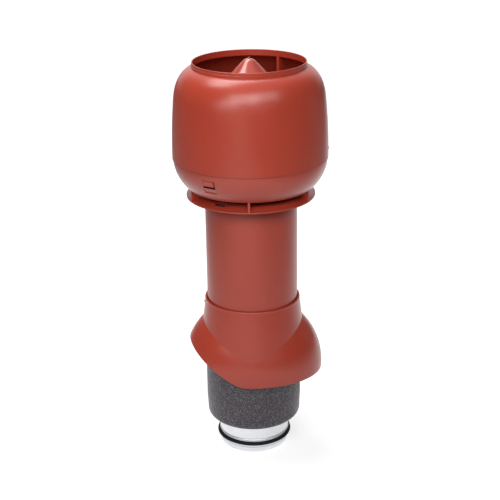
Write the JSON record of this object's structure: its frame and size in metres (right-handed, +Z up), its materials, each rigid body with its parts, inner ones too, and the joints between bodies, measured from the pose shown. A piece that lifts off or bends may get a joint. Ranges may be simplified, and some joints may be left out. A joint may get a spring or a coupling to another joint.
{
  "type": "roof vent pipe",
  "caption": "Insulated roof vent pipe with a bulbous open-topped rain hood, an inner deflector cone, a pitched-roof skirt and a gasketed steel duct spigot.",
  "frame": {"origin": "centre of the steel duct's lower end, at the foot of the part", "axes": "+Z up along the pipe; -Y faces the front, where one hood rib shows; +X is the side on which the skirt reaches lowest, down the slope of the roof"},
  "size_m": [0.2664, 0.2664, 0.7139],
  "materials": {
    "red_plastic": "satin moulded polypropylene",
    "galvanised_steel": "bright galvanised",
    "foam": "moulded bead foam",
    "gasket_rubber": "matt rubber"
  },
  "bodies": {
    "root": {"inner_duct": "galvanised_steel", "duct_gasket": "gasket_rubber", "insulation": "foam", "outer_pipe": "red_plastic", "roof_skirt": "red_plastic", "hood_base": "red_plastic", "hood_bowl": "red_plastic", "hood_shell": "red_plastic", "rain_cone": "red_plastic"}
  },
  "joints": []
}
